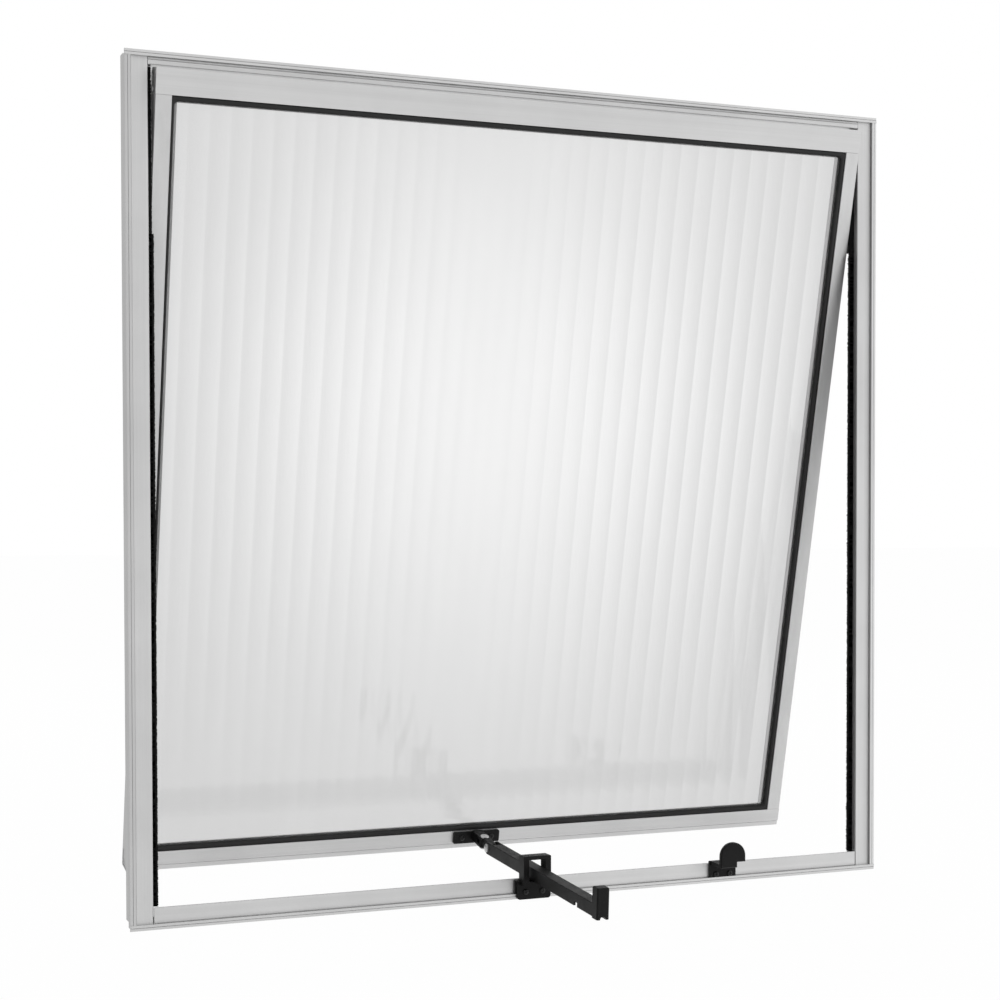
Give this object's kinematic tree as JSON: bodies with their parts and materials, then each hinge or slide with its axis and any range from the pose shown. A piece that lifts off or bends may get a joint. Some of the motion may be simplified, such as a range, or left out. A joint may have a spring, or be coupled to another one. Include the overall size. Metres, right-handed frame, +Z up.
{
  "type": "top hung awning window",
  "caption": "Square aluminium awning window whose fluted-glass sash swings out at the bottom and is held by a black sliding stay arm through a guide loop on the sill.",
  "frame": {"origin": "middle of the sill's underside, half way through the frame depth", "axes": "+X to the right seen from the room, +Y outwards away from the room, +Z up"},
  "size_m": [0.8, 0.3335, 0.8],
  "materials": {
    "frame_aluminium": "satin",
    "sash_aluminium": "satin",
    "weather_strip": "matt",
    "gasket": "matt",
    "fluted_glass": "fluted",
    "rivet_steel": "satin",
    "pin_steel": "satin",
    "black_nylon": "matt",
    "screw_steel": "black",
    "black_paint": "satin black"
  },
  "bodies": {
    "frame": {"guide_bracket": "black_paint", "guide_packer": "black_nylon", "guide_screws": "screw_steel", "head": "frame_aluminium", "keeper": "black_paint", "keeper_screws": "screw_steel", "left_hinge_pin": "pin_steel", "left_jamb": "frame_aluminium", "left_weather_strip": "weather_strip", "right_hinge_pin": "pin_steel", "right_jamb": "frame_aluminium", "right_weather_strip": "weather_strip", "sill": "frame_aluminium"},
    "sash": {"bottom_rail": "sash_aluminium", "bracket_screws": "screw_steel", "glass_pane": "fluted_glass", "glazing_gasket": "gasket", "left_hinge_bush": "black_nylon", "left_stile": "sash_aluminium", "right_hinge_bush": "black_nylon", "right_stile": "sash_aluminium", "sash_bracket": "black_paint", "swivel_block": "black_paint", "swivel_rivet": "rivet_steel", "top_rail": "sash_aluminium"},
    "arm": {"arm_rivet": "rivet_steel", "stay_arm": "black_paint"}
  },
  "joints": [
    {"name": "sash_hinge", "type": "hinge", "parent": "frame", "child": "sash", "pos_m": [0, 0.0078, 0.671], "axis": [1, 0, 0], "range_deg": [-12.25, 11.75]},
    {"name": "arm_pitch", "type": "hinge", "parent": "sash", "child": "arm", "pos_m": [0, 0.08787, 0.03296], "axis": [1, 0, 0], "range_deg": [-6.6, 6.9]}
  ],
  "couplings": [
    {"joint": "arm_pitch", "follows": "sash_hinge", "ratio": -0.56}
  ]
}
